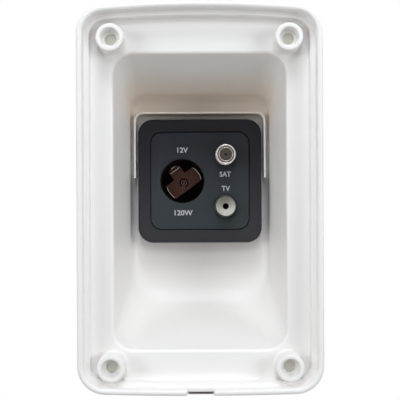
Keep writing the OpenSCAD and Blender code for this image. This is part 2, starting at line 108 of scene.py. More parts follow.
# 12 V outlet, and the strip and rivet on its floor
POWER_X, POWER_R, TUBE_IN, TUBE_OUT = -8.5, 10.5, 14.05, 15.25
CONTACT_TURN, FINGER_R, FINGER_SPREAD, FINGER_Y = 36, 9.3, 22, 73.75
RIVET_Y, RIVET_R, RIVET_SHANK, TAIL_Y, TAIL_END = 75.6, 2.6, 1.5, 81.1, 81.9

# Aerial connectors
AERIAL_X, SAT_Z, TV_Z = 12.3, MODULE_Z + 12.4, MODULE_Z - 12.25
SAT_HOLE, TV_HOLE, LEAD_IN = 4.85, 5.45, 0.45
SAT_PROUD, SAT_BORE, SAT_R, SAT_FLANGE = 8.0, 2.8, 4.75, 6.2
TV_PROUD, TV_BORE, TV_MOUTH, TV_R, TV_COLLAR = 5.5, 2.4, 1.5, 4.55, 5.35
THREAD_PITCH, THREAD_DEPTH = 0.75, 0.28
STRUT_AWAY, STRUT_R = 21.0, 2.2

# Printed marks: words, place, width
MARKS = (("12V", -8.65, 25.35, 5.1), ("120W", -8.3, -4.9, 8.7), ("SAT", 12.2, 13.65, 5.4),
         ("TV", 12.45, 6.75, 3.95))
MARK_CAP, CAP_SHARE, MARK_BOLD, MARK_PROUD = 2.5, 0.73, 0.06, 0.03

# Points in an outline: in a corner, up a side, along the top, and from the notch to a low corner
CORNER_STEPS, SIDE_STEPS, TOP_STEPS, LOW_STEPS = 14, 10, 30, 7
SMALLEST_R = 0.05
# Distances from the middle of the bottom edge to its points, close together at the notch's ends
NOTCH_STEPS = [0, 1.5, 3, 4, 4.6, 5.0, 5.3, 5.6, 5.9, 6.2, 6.6, 7.2, 8.2]

# Stage and camera, in metres and degrees, with the lens in millimetres
STAGE_HALF, STAGE_LEVEL = 1.5, -0.85
CAMERA_Y, CAMERA_Z, CAMERA_ROLL, LENS, SENSOR_W = -0.333, 0.00115, 0.25, 68.74, 36.0


# Materials

# Size of the clouds in a finish, and depth of its grain in metres
CLOUD_SCALE, GRAIN_DEPTH = 60.0, 0.0001


def principled(name, colour, roughness, metallic=0.0, specular=0.5):
    """A new material and its shader node."""
    material = bpy.data.materials.new(name)
    material.use_nodes = True
    material.diffuse_color = (*colour, 1)
    shader = material.node_tree.nodes["Principled BSDF"]
    shader.inputs["Base Color"].default_value = (*colour, 1)
    shader.inputs["Roughness"].default_value = roughness
    shader.inputs["Metallic"].default_value = metallic
    shader.inputs["Specular IOR Level"].default_value = specular
    return material, shader


def noise(tree, scale):
    """A noise texture in object space; returns its node."""
    place = tree.nodes.new("ShaderNodeTexCoord")
    texture = tree.nodes.new("ShaderNodeTexNoise")
    texture.inputs["Scale"].default_value = scale
    texture.inputs["Detail"].default_value = 2.0
    tree.links.new(place.outputs["Object"], texture.inputs["Vector"])
    return texture


def remap(tree, source, low, high):
    """Maps a 0 to 1 value to the range low to high."""
    node = tree.nodes.new("ShaderNodeMapRange")
    node.inputs["To Min"].default_value = low
    node.inputs["To Max"].default_value = high
    tree.links.new(source, node.inputs["Value"])
    return node.outputs["Result"]


def surface(name, colour, roughness, metallic=0.0, grain=0.0, grain_scale=2500.0,
            shade=0.04, spread=0.04, specular=0.5):
    """A material with slight clouds of colour and roughness, and a fine surface grain."""
    material, shader = principled(name, colour, roughness, metallic, specular)
    tree = material.node_tree
    clouds = noise(tree, CLOUD_SCALE)
    mix = tree.nodes.new("ShaderNodeMix")
    mix.data_type = "RGBA"
    mix.inputs[6].default_value = (*[c * (1 - shade) for c in colour], 1)
    mix.inputs[7].default_value = (*[min(1, c * (1 + shade)) for c in colour], 1)
    tree.links.new(clouds.outputs["Fac"], mix.inputs[0])
    tree.links.new(mix.outputs[2], shader.inputs["Base Color"])
    tree.links.new(remap(tree, clouds.outputs["Fac"], roughness - spread, roughness + spread),
                   shader.inputs["Roughness"])
    if grain:
        bump = tree.nodes.new("ShaderNodeBump")
        bump.inputs["Strength"].default_value = grain
        bump.inputs["Distance"].default_value = GRAIN_DEPTH
        tree.links.new(noise(tree, grain_scale).outputs["Fac"], bump.inputs["Height"])
        tree.links.new(bump.outputs["Normal"], shader.inputs["Normal"])
    return material


def blend_by_place(material, colour, ranges):
    """Blends towards another colour along one or two of the object's axes.

    Each range is an axis, where the blend starts and ends along it, and its least share.
    """
    tree = material.node_tree
    shader = tree.nodes["Principled BSDF"]
    plain = shader.inputs["Base Color"].links[0].from_socket
    place = tree.nodes.new("ShaderNodeTexCoord")
    split = tree.nodes.new("ShaderNodeSeparateXYZ")
    tree.links.new(place.outputs["Object"], split.inputs[0])
    both = tree.nodes.new("ShaderNodeMath")
    both.operation = "MULTIPLY"
    both.inputs[1].default_value = 1.0
    for (axis, start, end, least), factor in zip(ranges, both.inputs):
        node = tree.nodes.new("ShaderNodeMapRange")
        node.interpolation_type = "SMOOTHSTEP"
        node.inputs["From Min"].default_value = start * MM
        node.inputs["From Max"].default_value = end * MM
        node.inputs["To Min"].default_value = least
        tree.links.new(split.outputs[axis], node.inputs["Value"])
        tree.links.new(node.outputs["Result"], factor)
    mix = tree.nodes.new("ShaderNodeMix")
    mix.data_type = "RGBA"
    mix.inputs[7].default_value = (*colour, 1)
    tree.links.new(both.outputs[0], mix.inputs[0])
    tree.links.new(plain, mix.inputs[6])
    tree.links.new(mix.outputs[2], shader.inputs["Base Color"])


# Height in the well above which its faces get the painted warm shade
PAINTED_SHADE_FROM = 33

MOULDED = (0.865, 0.841, 0.818)
WHITE = surface("moulded_white", MOULDED, 0.42, grain=0.10, shade=0.006)
WHITE_PAINTED_SHADE = surface("moulded_white_painted_shade", MOULDED, 0.42, grain=0.10, shade=0.006)
# Painted shade: the deep upper well darkens and warms towards the back and the top
blend_by_place(WHITE_PAINTED_SHADE, (0.83, 0.745, 0.655), [("Y", 4, 44, 0.1), ("Z", PAINTED_SHADE_FROM, 47, 0.0)])
FRAME_BLACK = surface("frame_black", (0.044, 0.043, 0.049), 0.55, grain=0.25, specular=0.06)
# Painted shade: the frame darkens towards its top, as in the hood's shade
blend_by_place(FRAME_BLACK, (0.022, 0.021, 0.025), [("Z", -14, 40, 0.0)])
INSERT_GREY = surface("insert_grey", (0.048, 0.056, 0.062), 0.55, grain=0.35, specular=0.06)
# Painted shade: the insert darkens towards its top, as in the hood's shade
blend_by_place(INSERT_GREY, (0.033, 0.034, 0.042), [("Z", 0, 34, 0.0)])
BARREL_BLACK = surface("barrel_black", (0.006, 0.006, 0.006), 0.5, grain=0.2, specular=0.06)
SUPPORT_GREY = surface("support_grey", (0.06, 0.06, 0.065), 0.5, grain=0.3)
SEAL_BLACK = surface("seal_rubber", (0.030, 0.030, 0.031), 0.8, grain=0.6, grain_scale=900)
# Painted shade: the grey-beige of the screw holes' depths
HOLE_SHADE_PALE = surface("hole_painted_shade", (0.82, 0.82, 0.72), 0.5, grain=0.1, shade=0.02)
MARK_GREY = surface("mark_grey", (0.60, 0.61, 0.63), 0.55, shade=0.03, specular=0.1)
COPPER = surface("strip_copper", (0.115, 0.056, 0.045), 0.40, 1.0, grain=0.3, shade=0.10)
RIVET = surface("rivet_steel", (0.21, 0.12, 0.11), 0.35, 1.0, grain=0.2)
RIVET_SHADE = surface("rivet_shade", (0.020, 0.010, 0.009), 0.5, 0.3, specular=0.1)
# Painted highlight: a far brighter metal than the copper, for the contact fingers' lit edges
EDGE_HIGHLIGHT = surface("painted_edge_highlight", (0.86, 0.80, 0.74), 0.22, 1.0)
NICKEL = surface("nickel", (0.57, 0.52, 0.505), 0.24, 1.0, shade=0.02, spread=0.02)
NICKEL_SHADE = surface("nickel_shade", (0.20, 0.16, 0.15), 0.45, 1.0)
NICKEL_DULL = surface("nickel_dull", (0.58, 0.57, 0.515), 0.5, 0.12, grain=0.15, specular=0.05)
# Painted shade: the TV nose's dished face darkens towards its top
blend_by_place(NICKEL_DULL, (0.23, 0.225, 0.20), [("Z", -4.5, 3.0, 0.0), ("Y", 36, 33, 0.0)])
COLLAR_DARK = surface("collar_dark", (0.10, 0.095, 0.082), 0.5, 0.3, specular=0.2)
BRASS = surface("brass", (0.72, 0.52, 0.26), 0.28, 1.0, grain=0.25)
ZINC = surface("zinc_steel", (0.62, 0.64, 0.66), 0.34, 1.0, grain=0.4, shade=0.08)
SCREW_STEEL = surface("screw_steel", (0.55, 0.55, 0.56), 0.32, 1.0, grain=0.3)
SAT_CORE = surface("sat_insulation", (0.085, 0.073, 0.06), 0.5, shade=0.06, specular=0.1)
TV_CORE = surface("tv_insulation", (0.03, 0.03, 0.028), 0.5, shade=0.06, specular=0.2)
# Painted shade: near black on the aerial contacts, so their holes look deep in shade
CONTACT_SHADE_BLACK = surface("contact_painted_shade", (0.006, 0.006, 0.006), 0.6, specular=0.1)


# Meshes

def mesh_object(name, points, faces, material, angle=32.0):
    """A smooth-shaded object from points in millimetres, welded and with outward normals."""
    mesh = bpy.data.meshes.new(name)
    mesh.from_pydata([Vector(p) * MM for p in points], [], faces)
    form = bmesh.new()
    form.from_mesh(mesh)
    bmesh.ops.remove_doubles(form, verts=form.verts, dist=2e-6)
    bmesh.ops.recalc_face_normals(form, faces=form.faces)
    form.to_mesh(mesh)
    form.free()
    mesh.materials.append(material)
    piece = bpy.data.objects.new(name, mesh)
    bpy.context.scene.collection.objects.link(piece)
    shade(mesh, angle)
    return piece


def shade(mesh, angle=32.0):
    """Smooth shading, with edges sharp from an angle in degrees."""
    mesh.shade_smooth()
    mesh.set_sharp_from_angle(angle=math.radians(angle))


def loft(name, rings, material, closed=True, angle=32.0):
    """Joins rings of equal length; closed joins the last to the first, else both are capped."""
    count = len(rings[0])
    points = [p for ring in rings for p in ring]
    faces = []
    for k in range(len(rings) if closed else len(rings) - 1):
        a, b = k * count, (k + 1) % len(rings) * count
        for i in range(count):
            j = (i + 1) % count
            faces.append((a + i, a + j, b + j, b + i))
    if not closed:
        faces.append(tuple(range(count)))
        faces.append(tuple((len(rings) - 1) * count + i for i in range(count)))
    return mesh_object(name, points, faces, material, angle)


def lathe(name, profile, x, z, material, steps=96, closed=True, angle=32.0):
    """Turns a profile of (radius, y) about the axis along Y at x, z."""
    rings = [[(x + r * math.cos(math.tau * i / steps), y, z + r * math.sin(math.tau * i / steps))
              for i in range(steps)] for r, y in profile]
    return loft(name, rings, material, closed, angle)


def rod(name, radius, start, end, x, z, material, steps=48):
    """A plain solid cylinder along Y from start to end."""
    profile = [(AXIS_R, start), (radius, start), (radius, end), (AXIS_R, end)]
    return lathe(name, profile, x, z, material, steps, closed=False)


def corner(centre, radius, start, end, steps=6):
    """Points of an arc in a profile, from start to end in degrees."""
    return [(centre[0] + radius * math.cos(math.radians(start + (end - start) * k / steps)),
             centre[1] + radius * math.sin(math.radians(start + (end - start) * k / steps)))
            for k in range(steps + 1)]


def sweep(path, section):
    """Rings of a section, of sideways steps and depths, along a path of (x, z)."""
    rings = []
    for k, (x, z) in enumerate(path):
        a = path[max(k - 1, 0)]
        b = path[min(k + 1, len(path) - 1)]
        run = Vector((b[0] - a[0], b[1] - a[1])).normalized()
        rings.append([(x + run[1] * s, depth, z - run[0] * s) for s, depth in section])
    return rings


def combine(base, others, operation):
    """Applies exact booleans of the others to the base and removes them."""
    for other in others:
        cut = base.modifiers.new("cut", "BOOLEAN")
        cut.operation = operation
        cut.solver = "EXACT"
        cut.object = other
    bpy.context.view_layer.update()
    source = base.evaluated_get(bpy.context.evaluated_depsgraph_get())
    mesh = bpy.data.meshes.new_from_object(source)
    base.modifiers.clear()
    base.data = mesh
    for other in others:
        bpy.data.objects.remove(other)
    return base


def darken(piece, material, x, z, y_from, y_to, r_from, r_to):
    """Gives the faces in a range of depth and of radius about an axis a second, darker material;
    in the grooves it is painted shade.
    """
    if len(piece.data.materials) < 2:
        piece.data.materials.append(material)
    for face in piece.data.polygons:
        x_mm, y_mm, z_mm = face.center / MM
        radius = math.hypot(x_mm - x, z_mm - z)
        if y_from < y_mm < y_to and r_from < radius < r_to:
            face.material_index = 1


def dress(piece, slot, *nodes):
    """Hangs a piece on the root body and hides the CAD nodes it stands for. The slot is not used.
    """
    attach(piece, "root")
    if nodes:
        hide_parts(*nodes)
    return piece


def outline(half_w, top, bottom, radius, y, crown=0.0, low_radius=None):
    """A rounded rectangle with equal counts of points in every ring, in the plane at y.

    The top edge rises and the bottom edge drops by the crown's share, and the bottom corners
    can have a radius of their own.
    """
    radius = max(radius, SMALLEST_R)
    low_r = radius if low_radius is None else max(low_radius, SMALLEST_R)
    flat, low_flat = half_w - radius, half_w - low_r
    last = NOTCH_STEPS[-1]
    side = NOTCH_STEPS + [last + (low_flat - last) * k / LOW_STEPS for k in range(1, LOW_STEPS)]
    points = [(-s, bottom) for s in reversed(side[1:])] + [(s, bottom) for s in side]

    def arc(cx, cz, r, start):
        for k in range(CORNER_STEPS + 1):
            a = math.radians(start + 90 * k / CORNER_STEPS)
            points.append((cx + r * math.cos(a), cz + r * math.sin(a)))

    height = top - bottom - radius - low_r
    rises = [height * k / SIDE_STEPS for k in range(1, SIDE_STEPS)]
    arc(low_flat, bottom + low_r, low_r, -90)
    points += [(half_w, bottom + low_r + rise) for rise in rises]
    arc(flat, top - radius, radius, 0)
    points += [(flat - 2 * flat * k / TOP_STEPS, top) for k in range(1, TOP_STEPS)]
    arc(-flat, top - radius, radius, 90)
    points += [(-half_w, top - radius - rise) for rise in rises]
    arc(-low_flat, bottom + low_r, low_r, 180)
    middle = (top + bottom) / 2
    ring = []
    for x, z in points:
        share = crown * max(0.0, 1 - (x / CROWN_HALF) ** 2)
        ring.append((x, y, z + (CROWN_TOP * share if z > middle else -CROWN_BOTTOM * share)))
    return ring


# Housing

def flange_ring(inset, y):
    """A ring of the flange's outline, moved inwards, with the notch in the bottom rim."""
    ring = outline(FLANGE_HALF - inset, FLANGE_TOP - inset, FLANGE_BOTTOM + inset,
                   FLANGE_R - inset, y, crown=1.0)
    on_side = inset < NEAR
    if y > FACE_Y - NEAR and not on_side:
        return ring
    # The notch's edge is a round; on the side, all points sink with it
    away = 1 - min(inset, NOTCH_REACH) / NOTCH_REACH
    edge = NOTCH_Y + NOTCH_ROUND * (1 - math.sqrt(1 - away * away))
    side_share = (NOTCH_Y + NOTCH_ROUND) / (RIM_Y + BEAD_W / 2)
    reach = NOTCH_HALF + NOTCH_FADE / 2
    shaped = []
    for px, py, pz in ring:
        if pz < 0 and abs(px) < reach:
            share = min(1.0, max(0.0, (reach - abs(px)) / NOTCH_FADE))
            share = share * share * (3 - 2 * share)
            sunk = py * side_share if on_side else max(py, edge + NOTCH_FLATTEN * (py - edge))
            py += share * (sunk - py)
        shaped.append((px, py, pz))
    return shaped


def wall_width(at_floor, at_mouth, fillet, y):
    """Half-width of the well at y, with the round at the mouth and the fillet at the floor."""
    slope = (at_mouth - at_floor) / (FLOOR_Y - FACE_Y)
    length = math.sqrt(1 + slope * slope)
    low = FLOOR_Y - fillet
    if y > low + fillet * slope / length:
        centre = at_floor + slope * fillet - fillet * length
        return centre + math.sqrt(max(0.0, fillet ** 2 - (y - low) ** 2))
    high = FACE_Y + MOUTH_ROUND
    if y < high - MOUTH_ROUND * slope / length:
        centre = at_mouth - slope * MOUTH_ROUND + MOUTH_ROUND * length
        return centre - math.sqrt(max(0.0, MOUTH_ROUND ** 2 - (y - high) ** 2))
    return at_floor + slope * (FLOOR_Y - y)


def well_ring(y, grow=0.0, plane=None):
    """A ring on the well's wall at y, moved outwards by grow, or put in another plane."""
    half_w = wall_width(FLOOR_HALF_W, MOUTH_HALF_W, FLOOR_ROUND, y)
    half_top = wall_width(FLOOR_HALF_H, MOUTH_HALF_H, TOP_ROUND, y)
    half_low = wall_width(FLOOR_HALF_H, MOUTH_HALF_H, LOW_ROUND, y)
    share = (FLOOR_Y - y) / (FLOOR_Y - FACE_Y)
    straight = FLOOR_HALF_W + (MOUTH_HALF_W - FLOOR_HALF_W) * share
    shrink = half_w - straight + grow
    radius = FLOOR_R + (MOUTH_R - FLOOR_R) * share + shrink
    low_radius = FLOOR_LOW_R + (MOUTH_R - FLOOR_LOW_R) * share + shrink
    return outline(half_w + grow, WELL_MID + half_top + grow, WELL_MID - half_low - grow,
                   radius, y if plane is None else plane, low_radius=low_radius)


def blend_rings(a, b, share):
    """The ring a share of the way from ring a to ring b."""
    return [tuple(p + (q - p) * share for p, q in zip(m, n)) for m, n in zip(a, b)]


def rim_profile():
    """Inset and y from the flange's back edge over the bead and the ledge to the plate."""
    bead = BEAD_W / 2
    wall = BEAD_W + LEDGE_W
    path = [(0, 0), (0, -3), (0, -6), (0, -9)]
    path += corner((bead, RIM_Y + bead), bead, 180, 360, 12)
    path += corner((BEAD_W + BEAD_FOOT_R, LEDGE_Y - BEAD_FOOT_R), BEAD_FOOT_R, 180, 90, 2)
    path += corner((wall - LEDGE_EDGE_R, LEDGE_Y + LEDGE_EDGE_R), LEDGE_EDGE_R, -90, 0, 3)
    path += corner((wall + PLATE_R, FACE_Y - PLATE_R), PLATE_R, 180, 90, 3)
    return path


def well_depths():
    """Depths of the rings down the well: close in the mouth's round and the floor's fillets."""
    depths = [FACE_Y + MOUTH_ROUND * (1 - math.cos(math.radians(a))) for a in range(0, 90, 9)]
    depths += [2, 8, 14, 20, 26, 31]
    turns = [*range(20, 86, 4), 86, 88, 89, 90]
    return depths + [FLOOR_Y - LOW_ROUND * (1 - math.sin(math.radians(a))) for a in turns]


def housing_shell():
    """The moulding's skin: rim, flange, well, floor with its window, and the well's outside."""
    path = rim_profile()
    rings = [flange_ring(inset, y) for inset, y in path]
    inner = flange_ring(path[-1][0], FACE_Y)
    mouth = well_ring(FACE_Y)
    rings += [blend_rings(inner, mouth, share) for share in (0.33, 0.66)]
    rings += [well_ring(y) for y in well_depths()]
    window = (WINDOW_HALF, MODULE_Z + WINDOW_HALF, MODULE_Z - WINDOW_HALF, WINDOW_R)
    rings += [outline(*window, y) for y in (FLOOR_Y, SHELL_BACK)]
    for a in range(90, -1, -15):
        inset = FLOOR_ROUND * (1 - math.cos(math.radians(a)))
        y = SHELL_BACK - FLOOR_ROUND * (1 - math.sin(math.radians(a)))
        rings.append(well_ring(FLOOR_Y - REAR_ROUND, WELL_WALL - inset, y))
    rings.append(well_ring(NECK_Y, WELL_WALL, NECK_FILLET))
    rings.append(well_ring(NECK_Y, WELL_WALL + NECK_FILLET, 0.0))
    return loft("housing_shell", rings, WHITE, angle=40)


def notch_slot():
    """The narrow slot that runs in behind the notch's edge, as a solid to cut away."""
    half = NOTCH_HALF - SLOT_SIDE
    low, high = FLANGE_BOTTOM - CROWN_BOTTOM + SLOT_LIP, FLANGE_BOTTOM + SLOT_TOP
    rings = [[(-half, y, low), (half, y, low), (half, y, high), (-half, y, high)]
             for y in (RIM_Y - 1, FACE_Y + 1)]
    return loft("notch_slot", rings, WHITE, closed=False)


def at_screws():
    """The places of the four panel screws."""
    return [(sx * SCREW_X, sz * SCREW_Z) for sx in (-1, 1) for sz in (-1, 1)]


def boss(x, z):
    """A screw boss through the flange plate: rounded top, counterbore and screw hole."""
    outer, edge, lip = 0.7, 0.4, 0.25
    floor = BOSS_Y + HEAD_DEPTH
    profile = [(BOSS_R + outer, FACE_Y + 0.05), (BOSS_R + 0.3, FACE_Y - 0.3),
               (BOSS_R + 0.1, FACE_Y - 0.8)]
    profile += corner((BOSS_R - outer, BOSS_Y + outer), outer, 360, 270, 6)
    profile += corner((HEAD_R + edge, BOSS_Y + edge), edge, 270, 180, 5)
    profile += [(HEAD_R, floor - 0.5), (HEAD_R - 0.15, floor - 0.15), (HEAD_R - 0.5, floor)]
    profile += corner((HOLE_R + lip, floor + lip), lip, 270, 180, 4)
    profile += [(HOLE_R, -HAIR), (BOSS_R + outer, -HAIR)]
    return lathe("boss", profile, x, z, WHITE, 72)


def hood():
    """The thin rib round the top of the module: a swept strip with a rounded edge."""
    leg = HOOD_TOP - HOOD_R - HOOD_END
    path = [(HOOD_HALF, HOOD_END + leg * k / 8) for k in range(9)]
    path += corner((HOOD_HALF - HOOD_R, HOOD_TOP - HOOD_R), HOOD_R, 0, 90, 10)[1:-1]
    path += [((HOOD_HALF - HOOD_R) * (1 - k / 10), HOOD_TOP) for k in range(11)]
    path += [(-x, z) for x, z in reversed(path[:-1])]
    # Half the thickness and the height, with the edge rounded in two steps
    edge = FLOOR_Y - HOOD_H
    half = [(HOOD_HALF_T, FLOOR_Y + HOOD_FOOT), (HOOD_HALF_T, edge + 0.4), (0.35, edge + 0.12),
            (0.12, edge)]
    section = [(-s, depth) for s, depth in half] + half[::-1]
    return loft("hood", sweep(path, section), WHITE, closed=False)


def rear_boss(x, z):
    """A post behind the floor that takes a screw of the support plate."""
    profile = [(AXIS_R, FLOOR_Y - 0.5), (POST_R, FLOOR_Y - 0.5), (POST_R, POST_END - POST_EDGE),
               (POST_R - POST_EDGE, POST_END), (AXIS_R, POST_END)]
    return lathe("rear_boss", profile, x, z, WHITE, 48, closed=False)


def paint_shade_inside(piece):
    """Gives the upper faces inside the well a painted shade: a darker, warmer white towards the
    back and the top.
    """
    piece.data.materials.append(WHITE_PAINTED_SHADE)
    for face in piece.data.polygons:
        x, y, z = face.center / MM
        if z > PAINTED_SHADE_FROM and FACE_Y < y < FLOOR_Y + 0.5:
            depth = min(y, FLOOR_Y)
            half_w = wall_width(FLOOR_HALF_W, MOUTH_HALF_W, FLOOR_ROUND, depth)
            top = WELL_MID + wall_width(FLOOR_HALF_H, MOUTH_HALF_H, TOP_ROUND, depth)
            if abs(x) < half_w + WELL_WALL / 2 and z < top + WELL_WALL / 2:
                face.material_index = 1


def housing_piece():
    """The whole moulding: the skin with its slot, bosses, hood and rear posts."""
    shell = housing_shell()
    cutters = [rod("drill", HEAD_R + 0.6, -20, 5, x, z, WHITE) for x, z in at_screws()]
    shell = combine(shell, cutters + [notch_slot()], "DIFFERENCE")
    additions = [boss(x, z) for x, z in at_screws()] + [hood()]
    additions += [rear_boss(sx * POST_AWAY, MODULE_Z + sz * POST_AWAY)
                  for sx in (-1, 1) for sz in (-1, 1)]
    shell = combine(shell, additions, "UNION")
    shade(shell.data, 38)
    paint_shade_inside(shell)
    shell.name = "housing_visual"
    return shell


def hole_shade_discs():
    """Pale discs a little way down the housing's screw holes: a sheet standing where the holes
    show only shade, its colour a painted shade.
    """
    discs = [rod("hole_shade_disc", HOLE_R + 0.05, HOLE_DISC_Y, HOLE_DISC_BACK, x, z, HOLE_SHADE_PALE, 40)
             for x, z in at_screws()]
    return combine(discs[0], discs[1:], "UNION")


# Module

def square_ring(half_w, half_h, radius, y):
    """A rounded rectangle about the module's middle."""
    return outline(half_w, MODULE_Z + half_h, MODULE_Z - half_h, radius, y)


def frame_piece():
    """The frame: a skirt with a rounded front edge and a lip round the insert."""
    inner_w, inner_h = INSERT_HALF_W + SHADOW_GAP, INSERT_HALF_H + SHADOW_GAP
    inner_r = INSERT_R + SHADOW_GAP
    skirt, skirt_r = FRAME_HALF - FRAME_WALL, FRAME_R - FRAME_WALL
    rings = [square_ring(FRAME_HALF, FRAME_HALF, FRAME_R, FLOOR_Y - HAIR)]
    for a in range(0, 91, 10):
        inset = FRAME_ROUND * (1 - math.cos(math.radians(a)))
        y = FRAME_Y + FRAME_ROUND * (1 - math.sin(math.radians(a)))
        rings.append(square_ring(FRAME_HALF - inset, FRAME_HALF - inset, FRAME_R - inset, y))
    for a in range(90, -1, -18):
        grow = LIP_ROUND * (1 - math.cos(math.radians(a)))
        y = FRAME_Y + LIP_ROUND * (1 - math.sin(math.radians(a)))
        rings.append(square_ring(inner_w + grow, inner_h + grow, inner_r + grow, y))
    rings.append(square_ring(inner_w, inner_h, inner_r, LIP_BACK))
    rings.append(square_ring(skirt, skirt, skirt_r, LIP_BACK))
    rings.append(square_ring(skirt, skirt, skirt_r, FLOOR_Y - HAIR))
    return loft("frame_visual", rings, FRAME_BLACK)


def insert_plate():
    """The insert's plate with a rounded edge, and the clip flange behind the frame's lip."""
    rings = []
    for a in range(90, -1, -15):
        inset = INSERT_ROUND * (1 - math.cos(math.radians(a)))
        y = INSERT_Y + INSERT_ROUND * (1 - math.sin(math.radians(a)))
        rings.append(square_ring(INSERT_HALF_W - inset, INSERT_HALF_H - inset,
                                 INSERT_R - inset, y))
    rings.append(square_ring(INSERT_HALF_W, INSERT_HALF_H, INSERT_R, LIP_BACK))
    rings += [square_ring(CLIP_HALF, CLIP_HALF, CLIP_R, y) for y in (LIP_BACK, CLIP_END)]
    rings += [square_ring(INSERT_HALF_W - CLIP_WALL, INSERT_HALF_H - CLIP_WALL,
                          INSERT_R - CLIP_WALL, y) for y in (CLIP_END, INSERT_BACK)]
    return loft("insert_visual", rings, INSERT_GREY, closed=False)


def insert_hole(x, z, radius):
    """A hole through the insert, with a soft lead-in at the face, as a solid to cut away."""
    mouth = radius + LEAD_IN
    profile = [(AXIS_R, INSERT_Y - 1), (mouth, INSERT_Y - 1), (mouth, INSERT_Y)]
    profile += corner((mouth, INSERT_Y + LEAD_IN), LEAD_IN, 270, 180, 5)
    profile += [(radius, INSERT_BACK + 0.2), (AXIS_R, INSERT_BACK + 0.2)]
    return lathe("hole", profile, x, z, INSERT_GREY, 96, closed=False)


def insert_piece():
    """The insert with the tube round its outlet, the strap's posts and three holes."""
    sunk = INSERT_BACK - 0.5
    profile = [(TUBE_IN, sunk), (TUBE_OUT, sunk), (TUBE_OUT, INSERT_BACK + 4),
               (TUBE_IN, INSERT_BACK + 4)]
    additions = [lathe("tube", profile, POWER_X, MODULE_Z, INSERT_GREY)]
    additions += [rod("post", STRUT_R, sunk, STRAP_Y, AERIAL_X, MODULE_Z + sz * STRUT_AWAY,
                      INSERT_GREY, 40) for sz in (-1, 1)]
    plate = combine(insert_plate(), additions, "UNION")
    holes = [insert_hole(POWER_X, MODULE_Z, POWER_R + 0.1),
             insert_hole(AERIAL_X, SAT_Z, SAT_HOLE), insert_hole(AERIAL_X, TV_Z, TV_HOLE)]
    plate = combine(plate, holes, "DIFFERENCE")
    shade(plate.data)
    return plate


# Connectors

def thread(radius, start, end):
    """Profile points of a fine thread's crests and roots, from start to end."""
    points = []
    root = radius - THREAD_DEPTH
    for k in range(int((end - start) / THREAD_PITCH)):
        y = start + THREAD_PITCH * k
        points += [(root, y + THREAD_PITCH * 0.15), (radius, y + THREAD_PITCH * 0.45),
                   (radius, y + THREAD_PITCH * 0.6), (root, y + THREAD_PITCH * 0.9)]
    return points


def sat_connector():
    """A threaded barrel: a broad front ring, a dark groove and a thin inner ring."""
    front = INSERT_Y - SAT_PROUD
    neck, groove_in, groove_out, groove_y = 4.35, 3.36, 3.98, front + 1.3
    profile = [(SAT_BORE, AERIAL_END), (SAT_BORE, front + 0.3)]
    profile += [(SAT_BORE, front + 0.75), (SAT_BORE + 0.18, front + 0.7)]
    profile += corner((3.17, front + 0.3), 0.17, 180, 360, 8)
    profile += [(groove_in, groove_y), (groove_out, groove_y)]
    profile += corner((4.2, front + 0.22), 0.22, 180, 270, 5)
    profile += corner((4.5, front + 0.25), 0.25, 270, 360, 5)
    profile += thread(SAT_R, front + 0.6, INSERT_Y - 0.5)
    # The flange between the insert and the strap
    profile += [(4.4, INSERT_Y - 0.3), (neck, INSERT_BACK), (5.9, INSERT_BACK + HAIR),
                (SAT_FLANGE, INSERT_BACK + 0.3), (SAT_FLANGE, STRAP_Y - 0.3),
                (5.9, STRAP_Y - HAIR), (neck, STRAP_Y), (neck, REAR_THREAD_Y - 0.1)]
    profile += thread(SAT_R, REAR_THREAD_Y, REAR_THREAD_END) + [(4.3, AERIAL_END)]
    piece = lathe("sat_visual", profile, AERIAL_X, SAT_Z, NICKEL, 96, angle=50)
    # Painted shade: the groove's faces get the darker copy of the nickel
    darken(piece, NICKEL_SHADE, AERIAL_X, SAT_Z, front + 0.5, front + 2, 2.7, 4.1)
    return piece


def tv_connector():
    """The push-on nose: a dished face with a small hole, a slim groove and a wider collar."""
    front = INSERT_Y - TV_PROUD
    neck, hole_end = 4.15, front + 2.7
    profile = [(TV_BORE, AERIAL_END), (TV_BORE, hole_end), (TV_MOUTH, hole_end)]
    profile += [(TV_MOUTH, front + 2.05), (TV_MOUTH + 0.1, front + 1.95)]
    profile += [(2.4, front + 1.5), (3.4, front + 0.75), (4.2, front + 0.1)]
    profile += corner((4.36, front + 0.19), 0.19, 250, 360, 6)
    profile += [(TV_R, front + 3.3), (TV_R + 0.2, front + 3.6), (5.1, front + 3.85)]
    profile += corner((TV_COLLAR - 0.3, front + 4.2), 0.3, 290, 360, 4)
    profile += [(TV_COLLAR, STRAP_Y), (neck, STRAP_Y), (neck, REAR_THREAD_Y - 0.1)]
    profile += thread(TV_R, REAR_THREAD_Y, REAR_THREAD_END) + [(4.2, AERIAL_END)]
    piece = lathe("tv_visual", profile, AERIAL_X, TV_Z, NICKEL_DULL, 96, angle=50)
    # The collar's faces get a much darker material than the nose
    darken(piece, COLLAR_DARK, AERIAL_X, TV_Z, front + 3.0, 38, 4.5, 5.5)
    return piece


